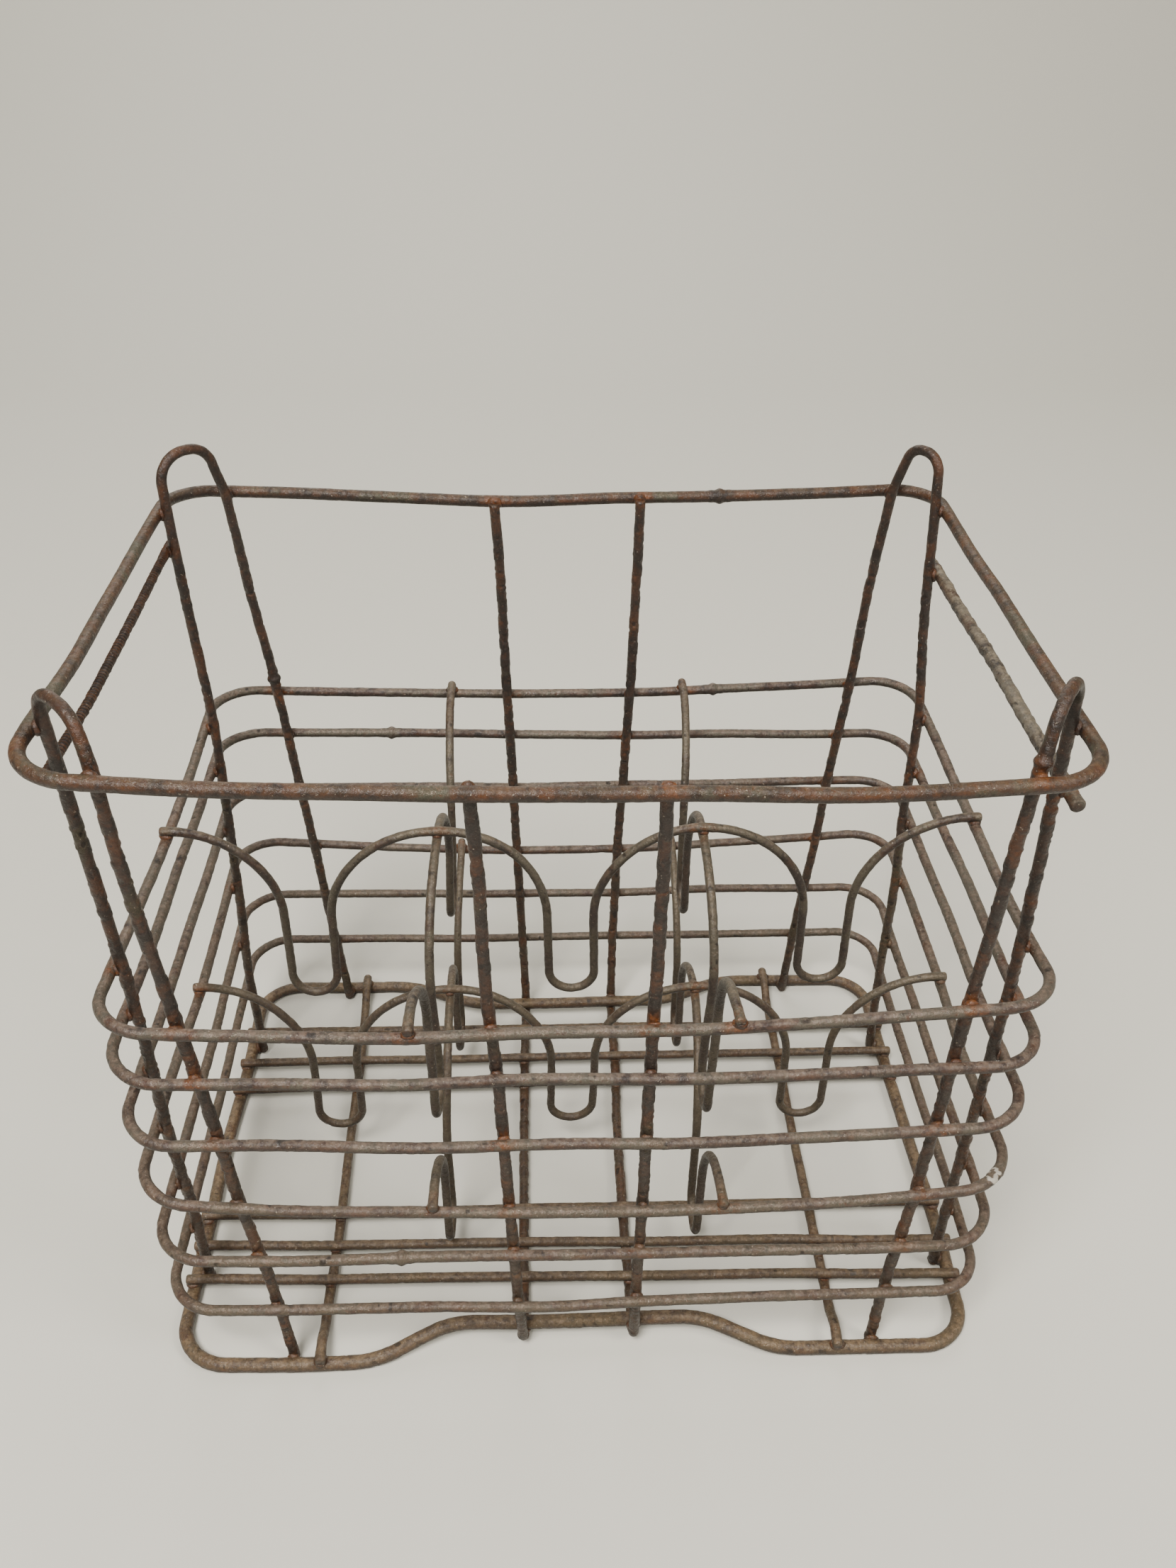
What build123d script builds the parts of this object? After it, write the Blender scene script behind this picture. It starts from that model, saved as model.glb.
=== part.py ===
"""Milk bottle crate: welded round wire for six half-gallon bottles, three across and two deep.

Level hoops are stacked round four corner loops and two long U wires. A raised floor of straight
wires carries the bottles, and two tiers of wavy wires keep them apart.
The origin is the middle of the footprint on the ground, +X is along the long side, +Y is towards
the back and +Z is up. All sizes are in millimetres.
"""
import os
from math import asin, atan2, hypot, pi, tan

from build123d import *

# Bottle cells: the hoops' inside faces stand at the edges of the block of cells.
cell_columns = 3
cell_rows = 2
cell_length = 120.0
cell_depth = 122.0

# Wire diameters
rim_wire = 5.6
hoop_wire = 4.7
base_wire = 6.4
upright_wire = 4.7
floor_wire = 4.7
divider_wire = 4.1
left_handle_wire = 4.0
right_handle_wire = 5.0

# Space left between wires that cross and are welded there
weld_gap = 0.2

# Bends, as the radius of the wire's centre line
corner_radius = 22.0
loop_top_radius = 13.0
loop_top_share = 0.56  # most of the span between the legs that one top bend may take as its radius
loop_shoulder_radius = 40.0
knee_radius = 60.0
rack_radius = 200.0
kink_radius = 12.0
jog_radius = 50.0
dip_radius = 11.0

# Hoops: wire, then height of the centre at the front left, front right, back right and back left
# corners, then droop of the front, right, back and left sides
hoops = {
    "rim": (rim_wire, (326.0, 319.5, 324.0, 324.0), (6.5, 1.0, 5.8, 1.0)),
    "hoop_1": (hoop_wire, (213.5, 218.5, 217.5, 215.0), (8.0, 6.5, 6.0, 5.5)),
    "hoop_2": (hoop_wire, (186.0, 186.0, 183.5, 188.5), (3.0, 1.0, 1.5, 1.0)),
    "hoop_3": (hoop_wire, (152.5, 152.5, 152.5, 152.5), (6.5, 1.0, 1.0, 1.0)),
    "hoop_4": (hoop_wire, (117.0, 115.5, 117.0, 117.0), (12.5, 2.0, 9.5, 2.0)),
    "hoop_5": (hoop_wire, (78.0, 77.0, 77.0, 77.0), (1.5, 1.0, 1.0, 1.0)),
    "hoop_6": (hoop_wire, (43.0, 43.0, 43.0, 43.0), (1.5, 1.0, 1.0, 1.0)),
}
bow_straights = (14.47, 2.87)  # straight wire from a corner's bend to a long or short side's arc
rack = -5.0  # how far the rim has been pushed sideways, along X, from the hoops below it

# Base ring: the middle of each long side steps inward and rises over the U wires
jog_outer_x = 92.0
jog_inner_x = 58.0
front_jog_inset = 14.0
back_jog_inset = 24.0

# Uprights: each pair runs from the rim, under the base ring and up to the rim's other side
upright_below_rim = 2.3  # from the top of the rim down to the cut ends
knee_height = 48.0
uprights = {  # x of the front top, the back top and the floor run
    "u_wire_left": (-38.5, -34.0, -25.0),
    "u_wire_right": (29.0, 36.0, 26.0),
}

# Corner loops: side in X and in Y, the corner's place in a hoop's heights, the top of the centre
# line above the rim's centre, then for the long-side leg how far it stands from the corner's bend
# at the rim and from the inside corner at the foot, and the same for the short-side leg
foot_height = 1.2
loop_lean_x = 5.0  # how far the long-side leg leans towards the corner above the rim
loop_lean_y = 6.5
corner_loops = {
    "corner_loop_front_left": (-1, -1, 0, 17.0, -2.5, 49.5, 6.0, 44.5),
    "corner_loop_front_right": (1, -1, 1, 23.0, 5.5, 43.0, 9.0, 45.0),
    "corner_loop_back_right": (1, 1, 2, 25.0, 1.0, 47.0, 3.0, 54.0),
    "corner_loop_back_left": (-1, 1, 3, 26.0, -2.5, 48.5, 5.0, 47.0),
}

# Floor
floor_cross_wires = {  # side, then distance in from the side cells' middle, at the front and back
    "floor_cross_wire_left": (-1, 2.5, -0.5),
    "floor_cross_wire_right": (1, 0.5, -1.5),
}
kink_run = 10.0  # how far before the base ring a cross wire begins to climb on to it
kink_start = 5.0
floor_long_wires = {  # side, then distance in from the inside face, at the left and right
    "floor_long_wire_1": (-1, 38.0, 32.0),
    "floor_long_wire_2": (-1, 57.0, 52.0),
    "floor_long_wire_3": (-1, 75.0, 75.0),
    "floor_long_wire_4": (1, 84.0, 82.0),
    "floor_long_wire_5": (1, 64.0, 64.0),
    "floor_long_wire_6": (1, 40.0, 42.0),
}

# Dividers: a dip stands near the middle of every cell and a crosswise divider between two cells.
# Crests: height of the centre line. Dips: cells from the middle of the crate, how far out of true
# along the wire, and height. Crosswise x: cells from the middle, out of true at front and back
upper_crest = 212.0
upper_long_dips = [(-1, -4.0, 116.5), (0, 0.0, 116.5), (1, 1.0, 118.5)]
upper_cross_dips = [(-0.5, 0.0, 101.5), (0.5, 0.0, 116.5)]
upper_cross_x = {"left": (-0.5, -4.0, 0.0), "right": (0.5, 0.0, 0.0)}
lower_crest = 115.5
lower_long_dips = [(-1, -1.0, 23.0), (0, 0.0, 23.0), (1, 1.0, 23.0)]
lower_cross_dips = [(-0.5, 0.0, 14.5), (0.5, 0.0, 20.0)]
lower_cross_x = {"left": (-0.5, -1.0, 0.0), "right": (0.5, 0.0, 0.0)}

# Side handles: height of the centre, distance in from the inside face of the front end and of
# the back end
left_handle = (306.0, 28.0, 18.0)
right_handle = (292.0, 22.0, 12.0)

# Inside faces of the hoops, and the faces where the uprights' centre lines lie
inside_x = cell_columns * cell_length / 2
inside_y = cell_rows * cell_depth / 2
upright_x = inside_x - weld_gap - upright_wire / 2
upright_y = inside_y - weld_gap - upright_wire / 2

# Heights of the floor's layers: cross wires below, long wires on the base ring's short sides
long_wire_height = base_wire + weld_gap + floor_wire / 2
cross_wire_height = long_wire_height - weld_gap - floor_wire
run_height = long_wire_height - weld_gap - (floor_wire + upright_wire) / 2
raised_height = run_height + weld_gap + (upright_wire + base_wire) / 2
outer_x = inside_x + base_wire
outer_y = inside_y + base_wire


def bow(side, half_length, droop):
    """Depth of the V and radius of the arc that make one side droop by the given amount."""
    reach = 1 - (corner_radius + bow_straights[side % 2]) / half_length
    depth = droop / (1 - reach / 2)
    return depth, reach * half_length**2 / depth


def side_middle(name, side):
    """Height of a hoop's centre halfway along a side: 0 front, 1 right, 2 back, 3 left."""
    wire, corners, droops = hoops[name]
    return (corners[side] + corners[(side + 1) % 4]) / 2 - droops[side]


def hoop_height(name, side, x):
    """Height of a hoop's centre on its front (0) or back (2) side, x from the middle."""
    wire, corners, droops = hoops[name]
    half_x = inside_x + wire / 2
    depth, radius = bow(side, half_x, droops[side])
    slope = (corners[side] - corners[side + 1]) / (2 * half_x) * (side - 1)
    return side_middle(name, side) + slope * x + x**2 / (2 * radius)


def rack_at(height):
    """How far the rack has moved a wire along X at a height between the top hoop and the rim."""
    low = hoops["hoop_1"][1][0]
    high = hoops["rim"][1][0]
    return rack * (height - low) / (high - low)


def save(node, label, route, wire):
    """Label and export one wire, and print how its volume compares with section times length."""
    node.part.label = label
    export_step(node.part, f"parts/{label}.step")
    ratio = node.part.volume / (pi * wire**2 / 4 * route.length)
    print(f"{label}: {route.length:.1f} mm of {wire} mm wire, volume ratio {ratio:.4f}")


def bent_wire(label, points, radii, wire, closed=False):
    """One round wire along straight runs joined by tangent arcs.

    A closed wire is swept in two stretches that meet end to end, so that it closes on itself
    even where the ring isn't flat.
    """
    with BuildPart() as bent:
        with BuildLine() as centre_line:
            if radii:
                FilletPolyline(*points, radius=radii, close=closed)
            else:
                Line(*points)
        route = centre_line.wire()
        bends = route.order_edges()
        half = len(bends) // 2 if closed else len(bends)
        for stretch in (bends[:half], bends[half:]):
            if not stretch:
                continue
            path = Wire(stretch)
            with BuildSketch(Plane(origin=path @ 0, z_dir=path % 0)):
                Circle(wire / 2)
            sweep(path=path)
    save(bent, label, route, wire)


def make_hoop(label):
    """A closed hoop with round corners, whose sides droop in shallow arcs."""
    wire, corners, droops = hoops[label]
    half_x = inside_x + wire / 2
    half_y = inside_y + wire / 2
    shift = rack if label == "rim" else 0
    places = [(-half_x, -half_y), (half_x, -half_y), (half_x, half_y), (-half_x, half_y)]
    points = []
    radii = []
    for side, (x, y) in enumerate(places):
        next_x, next_y = places[(side + 1) % 4]
        half_side = hypot(next_x - x, next_y - y) / 2
        depth, radius = bow(side, half_side, droops[side])
        middle = side_middle(label, side) + droops[side] - depth
        points += [(x + shift, y, corners[side])]
        points += [((x + next_x) / 2 + shift, (y + next_y) / 2, middle)]
        radii += [corner_radius, radius]
    bent_wire(label, points, radii, wire, closed=True)


def make_base_ring():
    """The bottom hoop, of heavier wire, with the middle of its long sides set in and raised."""
    half_x = inside_x + base_wire / 2
    half_y = inside_y + base_wire / 2
    low = base_wire / 2
    points = []
    radii = []
    for side, inset in ((-1, front_jog_inset), (1, back_jog_inset)):
        outer = side * half_y
        inner = side * (half_y - inset)
        points += [
            (side * half_x, outer, low),
            (side * jog_outer_x, outer, low),
            (side * jog_inner_x, inner, raised_height),
            (-side * jog_inner_x, inner, raised_height),
            (-side * jog_outer_x, outer, low),
            (-side * half_x, outer, low),
        ]
        radii += [corner_radius, jog_radius, jog_radius, jog_radius, jog_radius, corner_radius]
    bent_wire("base_ring", points, radii, base_wire, closed=True)


def make_corner_loop(label):
    """Two legs inside the hoops' corner, joined by a round top that stands above the rim."""
    side_x, side_y, corner, rise, *insets = corner_loops[label]
    long_rim, long_foot = inside_x - corner_radius - insets[0], inside_x - insets[1]
    short_rim, short_foot = inside_y - corner_radius - insets[2], inside_y - insets[3]
    rim_height = hoops["rim"][1][corner]
    hoop_1_height = hoops["hoop_1"][1][corner]
    top = rim_height + rise
    outward = side_x * loop_lean_x
    short_lean = (short_rim - short_foot) / (rim_height - foot_height)
    top_rack = rack * (top - hoop_1_height) / (rim_height - hoop_1_height)
    long_top = (side_x * long_rim + outward, side_y * (upright_y - loop_lean_y))
    short_top = (side_x * upright_x + top_rack, side_y * (short_rim + short_lean * rise))
    short_bend_y = short_foot + short_lean * (hoop_1_height - foot_height)
    span = hypot(long_top[0] - short_top[0], long_top[1] - short_top[1])
    top_radius = min(loop_top_radius, loop_top_share * span)
    points = [
        (side_x * long_foot, side_y * upright_y, foot_height),
        (side_x * long_rim, side_y * upright_y, rim_height),
        (*long_top, top),
        (*short_top, top),
        (side_x * upright_x, side_y * short_bend_y, hoop_1_height),
        (side_x * upright_x, side_y * short_foot, foot_height),
    ]
    radii = [loop_shoulder_radius, top_radius, top_radius, rack_radius]
    bent_wire(label, points, radii, upright_wire)


def bend_under(side, inset, x_low):
    """Corner of a U wire's centre line below the raised base ring, and the radius of its bend."""
    bend = raised_height - run_height
    bar_y = inside_y + base_wire / 2 - inset
    across = upright_y - bar_y
    above = knee_height - raised_height
    lean = atan2(across, above) - asin(bend / hypot(across, above))
    return (x_low, side * (bar_y + bend * tan((pi / 2 - lean) / 2)), run_height), bend


def make_u_wire(label):
    """A front upright, a floor run and a back upright in one wire, welded inside every hoop."""
    front_x, back_x, floor_x = uprights[label]
    front_corner, front_bend = bend_under(-1, front_jog_inset, floor_x)
    back_corner, back_bend = bend_under(1, back_jog_inset, floor_x)
    front_top = hoop_height("rim", 0, front_x - rack) + rim_wire / 2 - upright_below_rim
    back_top = hoop_height("rim", 2, back_x - rack) + rim_wire / 2 - upright_below_rim
    front_knee_x = floor_x + (front_x - floor_x) * knee_height / front_top
    back_knee_x = floor_x + (back_x - floor_x) * knee_height / back_top
    points = [
        (front_x, -upright_y, front_top),
        (front_knee_x, -upright_y, knee_height),
        front_corner,
        back_corner,
        (back_knee_x, upright_y, knee_height),
        (back_x, upright_y, back_top),
    ]
    bent_wire(label, points, [knee_radius, front_bend, back_bend, knee_radius], upright_wire)


def make_cross_wire(label):
    """A low floor wire whose ends climb on to the base ring's long sides."""
    side, front_inset, back_inset = floor_cross_wires[label]
    front_x, back_x = side * (cell_length - front_inset), side * (cell_length - back_inset)
    climb_end = inside_y - kink_start
    climb_start = climb_end - kink_run
    stations = [
        (-outer_y, long_wire_height),
        (-climb_end, long_wire_height),
        (-climb_start, cross_wire_height),
        (climb_start, cross_wire_height),
        (climb_end, long_wire_height),
        (outer_y, long_wire_height),
    ]
    middle_x = (front_x + back_x) / 2
    slant = (back_x - front_x) / (2 * outer_y)
    points = [(middle_x + slant * y, y, height) for y, height in stations]
    bent_wire(label, points, [kink_radius] * 4, floor_wire)


def make_long_wire(label):
    """A straight floor wire that lies on the base ring's short sides."""
    side, left_inset, right_inset = floor_long_wires[label]
    ends = [
        (-outer_x, side * (inside_y - left_inset), long_wire_height),
        (outer_x, side * (inside_y - right_inset), long_wire_height),
    ]
    bent_wire(label, ends, [], floor_wire)


def make_handle(label, side, wire, height, front_inset, back_inset):
    """A straight bar on the outside of two loop legs, below the rim."""
    x = side * (inside_x + wire / 2) + rack_at(height)
    ends = [(x, front_inset - inside_y, height), (x, inside_y - back_inset, height)]
    bent_wire(label, ends, [], wire)


def make_divider(label, plane, end, rest, end_heights, dips, crests):
    """A wavy wire in an upright plane.

    Its two ends lie level on a hoop, from the station `end` to `rest`, and turn down in quarter
    circles. `dips` lists the station and height of each narrow dip from left to right, and
    `crests` the height of each wide arch between two dips.
    """
    with BuildPart() as divider:
        with BuildLine(plane) as centre_line:
            height = end_heights[0]
            radius = dips[0][0] - dip_radius + rest
            Line((-end, height), (-rest, height))
            CenterArc((-rest, height - radius), radius, 0, 90)
            height -= radius
            station = radius - rest
            for index, (dip, bottom) in enumerate(dips):
                Line((station, height), (station, bottom + dip_radius))
                CenterArc((dip, bottom + dip_radius), dip_radius, 180, 180)
                station = dip + dip_radius
                if index == len(dips) - 1:
                    radius = rest - station
                    height = end_heights[1] - radius
                    Line((station, bottom + dip_radius), (station, height))
                    CenterArc((rest, height), radius, 90, 90)
                    Line((rest, height + radius), (end, height + radius))
                else:
                    radius = (dips[index + 1][0] - dip) / 2 - dip_radius
                    height = crests[index] - radius
                    Line((station, bottom + dip_radius), (station, height))
                    CenterArc((station + radius, height), radius, 0, 180)
                    station += 2 * radius
        route = centre_line.wire()
        with BuildSketch(Plane(origin=route @ 0, z_dir=route % 0)):
            Circle(divider_wire / 2)
        sweep(path=route)
    save(divider, label, route, divider_wire)


def make_divider_tier(tier, hoop, crest, long_dips, cross_dips, cross_x):
    """One lengthwise divider over two crosswise ones, all with their ends on one hoop."""
    rest_gap = (hoop_wire + divider_wire) / 2 + weld_gap
    make_divider(
        f"{tier}_divider_long",
        Plane.XZ,
        inside_x + hoop_wire,
        inside_x + hoop_wire / 2,
        [side_middle(hoop, 3) + rest_gap, side_middle(hoop, 1) + rest_gap],
        [(cells * cell_length + offset, height) for cells, offset, height in long_dips],
        [crest, crest],
    )
    for name, (cells, front_offset, back_offset) in cross_x.items():
        front_x = cells * cell_length + front_offset
        back_x = cells * cell_length + back_offset
        slant = (back_x - front_x) / (2 * inside_y)
        make_divider(
            f"{tier}_divider_cross_{name}",
            Plane(
                origin=((front_x + back_x) / 2, 0, 0),
                x_dir=(slant, 1, 0),
                z_dir=(1, -slant, 0),
            ),
            inside_y + hoop_wire,
            inside_y + hoop_wire / 2,
            [hoop_height(hoop, 0, front_x) + rest_gap, hoop_height(hoop, 2, back_x) + rest_gap],
            [(cells * cell_depth + offset, height) for cells, offset, height in cross_dips],
            [crest - divider_wire - weld_gap],
        )


os.makedirs("parts", exist_ok=True)
for hoop_name in hoops:
    make_hoop(hoop_name)
make_base_ring()
for loop_name in corner_loops:
    make_corner_loop(loop_name)
for upright_name in uprights:
    make_u_wire(upright_name)
for cross_name in floor_cross_wires:
    make_cross_wire(cross_name)
for long_name in floor_long_wires:
    make_long_wire(long_name)
make_handle("handle_left", -1, left_handle_wire, *left_handle)
make_handle("handle_right", 1, right_handle_wire, *right_handle)
make_divider_tier(
    "upper", "hoop_1", upper_crest, upper_long_dips, upper_cross_dips, upper_cross_x
)
make_divider_tier(
    "lower", "hoop_4", lower_crest, lower_long_dips, lower_cross_dips, lower_cross_x
)
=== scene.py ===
"""Milk bottle crate of welded galvanised wire, old, rusty and dusty, on a pale studio floor.

Each wire is a round tube carried along the centre line of its solid in the frame, with rust
relief, weld beads where wires touch, and nipped-off ends. Lengths are in millimetres until a
mesh is made; +X is along the crate, +Y towards the back and +Z up.
"""

import bpy
import numpy as np
from mathutils import Matrix, Vector


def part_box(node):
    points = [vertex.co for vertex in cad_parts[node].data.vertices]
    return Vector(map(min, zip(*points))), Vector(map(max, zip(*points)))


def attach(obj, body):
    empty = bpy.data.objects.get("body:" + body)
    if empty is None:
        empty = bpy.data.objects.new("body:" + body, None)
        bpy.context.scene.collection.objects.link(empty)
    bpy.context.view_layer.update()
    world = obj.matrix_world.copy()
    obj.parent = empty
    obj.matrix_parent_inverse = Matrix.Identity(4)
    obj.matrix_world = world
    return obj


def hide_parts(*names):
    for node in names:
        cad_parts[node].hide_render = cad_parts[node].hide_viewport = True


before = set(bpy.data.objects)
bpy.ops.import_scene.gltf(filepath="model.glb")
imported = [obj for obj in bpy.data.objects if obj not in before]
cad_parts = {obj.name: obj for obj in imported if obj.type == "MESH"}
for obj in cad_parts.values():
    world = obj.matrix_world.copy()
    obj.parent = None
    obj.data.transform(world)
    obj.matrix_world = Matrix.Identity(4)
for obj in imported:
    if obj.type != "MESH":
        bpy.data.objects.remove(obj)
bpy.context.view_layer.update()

MM = 0.001

# Wire diameters, and the gap between wires that are welded where they cross
RIM_WIRE = 5.6
HOOP_WIRE = 4.7
BASE_WIRE = 6.4
UPRIGHT_WIRE = 4.7
FLOOR_WIRE = 4.7
DIVIDER_WIRE = 4.1
LEFT_HANDLE_WIRE = 4.0
RIGHT_HANDLE_WIRE = 5.0
WELD_GAP = 0.2

# The hoops' inside faces, from the frame, then the middle of the uprights that stand against them
# and the outside of the base ring
INSIDE_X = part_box("hoop_6")[1][0] / MM - HOOP_WIRE
INSIDE_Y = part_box("hoop_6")[1][1] / MM - HOOP_WIRE
UPRIGHT_X = INSIDE_X - WELD_GAP - UPRIGHT_WIRE / 2
UPRIGHT_Y = INSIDE_Y - WELD_GAP - UPRIGHT_WIRE / 2
OUTER_X = INSIDE_X + BASE_WIRE
OUTER_Y = INSIDE_Y + BASE_WIRE

# Bends, as the radius of the centre line
CORNER_RADIUS = 22.0
LOOP_TOP_RADIUS = 13.0
LOOP_TOP_SHARE = 0.56  # of the span between a loop's top corners, the most a bend may have
LOOP_SHOULDER_RADIUS = 40.0
KNEE_RADIUS = 60.0
RACK_RADIUS = 200.0
KINK_RADIUS = 12.0
JOG_RADIUS = 50.0
DIP_RADIUS = 11.0

# Hoops: wire, heights of the corners from the front left round, droops of the sides likewise
HOOPS = {
    "rim": (RIM_WIRE, (326.0, 319.5, 324.0, 324.0), (6.5, 1.0, 5.8, 1.0)),
    "hoop_1": (HOOP_WIRE, (213.5, 218.5, 217.5, 215.0), (8.0, 6.5, 6.0, 5.5)),
    "hoop_2": (HOOP_WIRE, (186.0, 186.0, 183.5, 188.5), (3.0, 1.0, 1.5, 1.0)),
    "hoop_3": (HOOP_WIRE, (152.5, 152.5, 152.5, 152.5), (6.5, 1.0, 1.0, 1.0)),
    "hoop_4": (HOOP_WIRE, (117.0, 115.5, 117.0, 117.0), (12.5, 2.0, 9.5, 2.0)),
    "hoop_5": (HOOP_WIRE, (78.0, 77.0, 77.0, 77.0), (1.5, 1.0, 1.0, 1.0)),
    "hoop_6": (HOOP_WIRE, (43.0, 43.0, 43.0, 43.0), (1.5, 1.0, 1.0, 1.0)),
}
BOW_REACH = 0.8  # share of each half of a side that the arc of its bow takes
RACK = -5.0  # how far along X the rim has been pushed from the hoops below it

# Base ring: its long sides step in and rise over the U wires between the outer and inner X, by
# one inset at the front (-1) and another at the back (1)
JOG_OUTER_X = 92.0
JOG_INNER_X = 58.0
JOG_INSETS = {-1: 14.0, 1: 24.0}

# U wires: x of the front top, the back top and the floor run
U_WIRES = {"u_wire_left": (-38.5, -34.0, -25.0), "u_wire_right": (29.0, 36.0, 26.0)}
UPRIGHT_BELOW_RIM = 2.3  # from the top of the rim down to the cut ends
KNEE_HEIGHT = 48.0  # where a leg turns inward, to pass under the base ring

# Corner loops: sides in X and Y, corner number, rise above the rim, x of one leg at the rim and
# foot, y of the other leg at the rim and foot
CORNER_LOOPS = {
    "corner_loop_front_left": (-1, -1, 0, 17.0, 160.5, 130.5, 94.0, 77.5),
    "corner_loop_front_right": (1, -1, 1, 23.0, 152.5, 137.0, 91.0, 77.0),
    "corner_loop_back_right": (1, 1, 2, 25.0, 157.0, 133.0, 97.0, 68.0),
    "corner_loop_back_left": (-1, 1, 3, 26.0, 160.5, 131.5, 95.0, 75.0),
}
FOOT_HEIGHT = 1.2
LOOP_LEAN_X = 5.0  # from the rim to the top, one leg leans this far towards the corner
LOOP_LEAN_Y = 6.5  # and this far inward
LOOP_SIDEWAYS = (0.62, 0.78)  # direction across a corner, from which a loop's rings are turned

# Floor wires: x of each cross wire at the front and back, y of each long wire left and right
CROSS_WIRES = {
    "floor_cross_wire_left": (-117.5, -120.5),
    "floor_cross_wire_right": (119.5, 121.5),
}
KINK_START = 5.0  # from the hoops' inside face to where a cross wire has climbed on to the ring
KINK_RUN = 10.0  # length over which it climbs
LONG_WIRES = {
    "floor_long_wire_1": (-84.0, -90.0),
    "floor_long_wire_2": (-65.0, -70.0),
    "floor_long_wire_3": (-47.0, -47.0),
    "floor_long_wire_4": (38.0, 40.0),
    "floor_long_wire_5": (58.0, 58.0),
    "floor_long_wire_6": (82.0, 80.0),
}
# Heights of the centre lines: long wires, the runs under them and the raised base ring
LONG_WIRE_HEIGHT = BASE_WIRE + WELD_GAP + FLOOR_WIRE / 2
RUN_HEIGHT = LONG_WIRE_HEIGHT - WELD_GAP - FLOOR_WIRE
RAISED_HEIGHT = RUN_HEIGHT + WELD_GAP + (UPRIGHT_WIRE + BASE_WIRE) / 2

# Dividers: hoop they lie on, height of the crests, place and height of each lengthwise dip and
# of each crosswise dip, x of the crosswise wires at the front and back
TIERS = {
    "upper": (
        "hoop_1", 212.0,
        [(-124.0, 116.5), (0.0, 116.5), (121.0, 118.5)],
        [(-61.0, 101.5), (61.0, 116.5)],
        {"left": (-64.0, -60.0), "right": (60.0, 60.0)},
    ),
    "lower": (
        "hoop_4", 115.5,
        [(-121.0, 23.0), (0.0, 23.0), (121.0, 23.0)],
        [(-61.0, 14.5), (61.0, 20.0)],
        {"left": (-61.0, -60.0), "right": (60.0, 60.0)},
    ),
}

# Side handles: side, wire, height, y of the front and back ends
HANDLES = {
    "handle_left": (-1, LEFT_HANDLE_WIRE, 306.0, -94.0, 104.0),
    "handle_right": (1, RIGHT_HANDLE_WIRE, 292.0, -100.0, 110.0),
}

# Meshes of the wires: step along the wire, and points round it
PLAIN_MESH = (0.95, 17)
FINE_MESH = (0.65, 22)  # where scale flakes and ridges stand out
ARC_POINTS = 12  # in a bend, at least
ARC_STEP = 0.025  # radians between the points of a bend, or a little more
SHORTEST = 1e-6  # points nearer than this are one point
END_ROUND = 0.9  # length over which a nipped end is drawn in
END_RINGS = np.array([0.0, 0.12, 0.4])  # places of the extra rings there, as shares of it
END_DRAWN_IN = 0.22  # share of the radius that is lost at the very end
LOWEST = 0.05  # no wire reaches further down

# Factors that scramble a lattice place into a number: of its axes, of the seed and of the mix
HASH_AXES = np.array([73856093, 19349663, 83492791])
HASH_SEED = 2654435
HASH_MIX = 1274126177
SEED_SHIFT = 7.31  # sets the lattices of the seeds apart

# Crookedness: length of its waves, their seeds and full swing along each axis, and the height
# below which it fades out
STRAY_LENGTH = 55.0
STRAY_SEEDS = (3, 4, 5)
STRAY_SWING = np.array([2.4, 2.4, 1.6])
STRAY_FADE = 60.0

# Noises in the meshes: size in mm and seed
COARSE_CRUST = (1.9, 11)
FINE_CRUST = (0.95, 12)
SWELL = (9.0, 13)
FLAKES = (4.6, 14)
FLAKE_RAGS = (1.8, 15)
PITS = (2.6, 16)
LIME_GRAIN = (1.5, 17)
RIDGE_WANDER = (8.0, 21)
SWOLLEN_LUMPS = (3.0, 22)
BEAD_LUMPS = (2.0, 31)
BEAD_GRAIN = (1.0, 32)
BEAD_SCALE = (1.4, 33)

# Rust on each kind of wire: height of its flakes of scale and depth of its pits
PLAIN_RUST = (0.08, 0.16)
FRONT_LOOP_RUST = (0.34, 0.4)
BACK_LOOP_RUST = (0.2, 0.4)
U_WIRE_RUST = (0.28, 0.35)
HANDLE_RUST = (0.14, 0.35)

# Rust on all of them. An edge is two levels of a noise: a flake rises, or a pit sinks, from the
# first to the second.
CRUST_HEIGHT = 0.1
CRUST_FINENESS = 0.5  # height of its fine noise against the coarse one
SWELL_HEIGHT = 0.12
FLAKE_SHARE = 0.65  # of the flakes' own noise, the rest making their edges ragged
FLAKE_EDGE = (0.52, 0.57)
PIT_EDGE = (0.27, 0.14)
WORN_HEIGHTS = (285.0, 325.0)  # hands have worn the scale down from the first to the second
WORN_AWAY = 0.75  # share of the scale that they have taken

# Bell-shaped swellings, each with its height and width
WELD_SWELLING = (0.22, 4.5)
BUTT_SWELLING = (1.05, 1.7)
COLLAR_SWELLING = (0.25, 1.2)
COLLAR_DISTANCE = 4.0  # from the middle of a butt joint to the collars on both sides
LIME_SWELLING = (0.7, 5.5)
LIME_EDGE = (0.35, 0.65)
WELD_RUST_WIDTH = 8.0  # of the mask that colours the wire at a weld
FAR = 1e3  # from a weld, before any is found

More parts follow.
